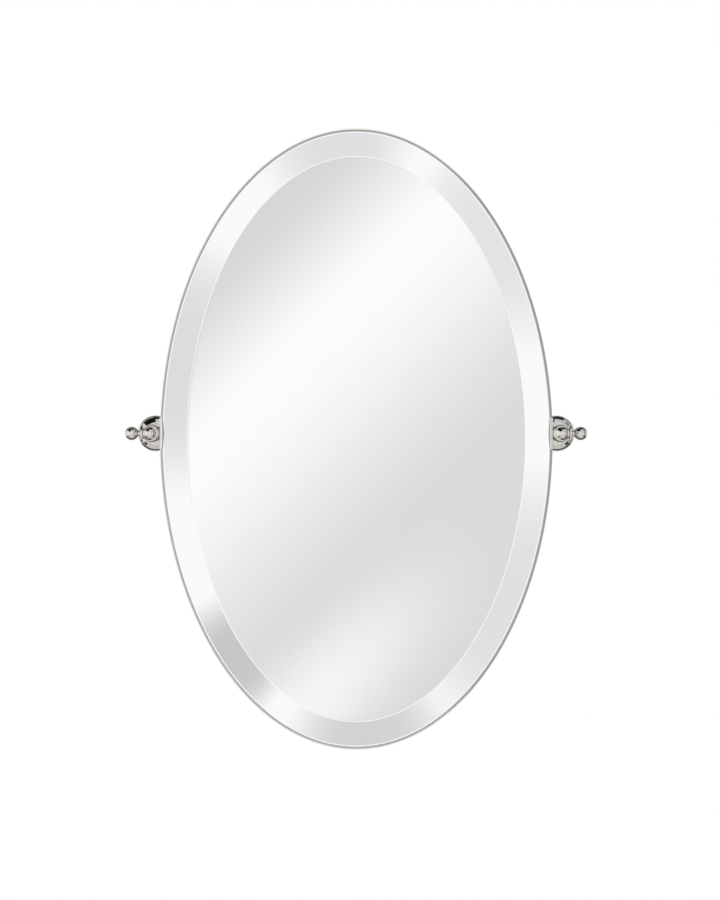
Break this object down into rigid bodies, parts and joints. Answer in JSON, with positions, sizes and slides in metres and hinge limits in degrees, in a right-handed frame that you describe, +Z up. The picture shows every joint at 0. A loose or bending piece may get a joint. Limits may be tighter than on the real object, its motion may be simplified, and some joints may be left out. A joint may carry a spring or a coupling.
{
  "type": "pivot wall mirror",
  "caption": "Oval bevelled wall mirror in a thin polished rim, tilting between two turned wall brackets with ball knobs.",
  "frame": {"origin": "on the wall, midway between the two mounting plates, at the height of the pivot", "axes": "+Z up, the mirror faces -Y, +X to the right as seen by someone looking into it"},
  "size_m": [0.5686, 0.0793, 0.762],
  "materials": {
    "mirror_glass": "silvered glass, bevelled",
    "polished_nickel": "polished nickel plate",
    "zinc_steel": "zinc-plated steel",
    "fibreboard": "fibreboard, painted black against damp",
    "safety_film": "grey polyester film",
    "foam": "white foam tape",
    "rubber": "black rubber",
    "nylon": "natural white nylon"
  },
  "bodies": {
    "wall_brackets": {"left_mounting_plate": "zinc_steel", "left_wall_flange": "polished_nickel", "left_grub_screw": "zinc_steel", "left_post": "polished_nickel", "left_post_screw": "zinc_steel", "left_finial_collar": "polished_nickel", "left_finial_ball": "polished_nickel", "right_mounting_plate": "zinc_steel", "right_wall_flange": "polished_nickel", "right_grub_screw": "zinc_steel", "right_post": "polished_nickel", "right_post_screw": "zinc_steel", "right_finial_collar": "polished_nickel", "right_finial_ball": "polished_nickel"},
    "mirror": {"mirror_glass": "mirror_glass", "safety_film": "safety_film", "foam_tape": "foam", "backing_board": "fibreboard", "rim_frame": "polished_nickel", "rim_screws": "zinc_steel", "wall_bumpers": "rubber", "left_edge_clip": "polished_nickel", "left_clip_pad": "rubber", "left_clip_screws": "zinc_steel", "left_pivot_stud": "zinc_steel", "left_friction_washer": "nylon", "right_edge_clip": "polished_nickel", "right_clip_pad": "rubber", "right_clip_screws": "zinc_steel", "right_pivot_stud": "zinc_steel", "right_friction_washer": "nylon"},
    "left_clamp": {"left_spring_washer": "zinc_steel", "left_clamp_disc": "polished_nickel"},
    "left_knob": {"left_knob": "polished_nickel"},
    "right_clamp": {"right_spring_washer": "zinc_steel", "right_clamp_disc": "polished_nickel"},
    "right_knob": {"right_knob": "polished_nickel"}
  },
  "joints": [
    {"name": "mirror_tilt", "type": "hinge", "parent": "wall_brackets", "child": "mirror", "pos_m": [0, -0.048, 0], "axis": [1, 0, 0], "range_deg": [-5.8, 5.8]},
    {"name": "left_clamp_slide", "type": "slide", "parent": "mirror", "child": "left_clamp", "axis": [-1, 0, 0], "range_m": [0, 0.0021]},
    {"name": "left_knob_turn", "type": "hinge", "parent": "left_clamp", "child": "left_knob", "pos_m": [-0.2758, -0.048, 0], "axis": [-1, 0, 0], "range_deg": [0, 1080]},
    {"name": "right_clamp_slide", "type": "slide", "parent": "mirror", "child": "right_clamp", "axis": [1, 0, 0], "range_m": [0, 0.0021]},
    {"name": "right_knob_turn", "type": "hinge", "parent": "right_clamp", "child": "right_knob", "pos_m": [0.2758, -0.048, 0], "axis": [1, 0, 0], "range_deg": [0, 1080]}
  ],
  "couplings": [
    {"joint": "left_knob_turn", "follows": "left_clamp_slide", "rad_per_m": 8976},
    {"joint": "right_knob_turn", "follows": "right_clamp_slide", "rad_per_m": 8976}
  ]
}
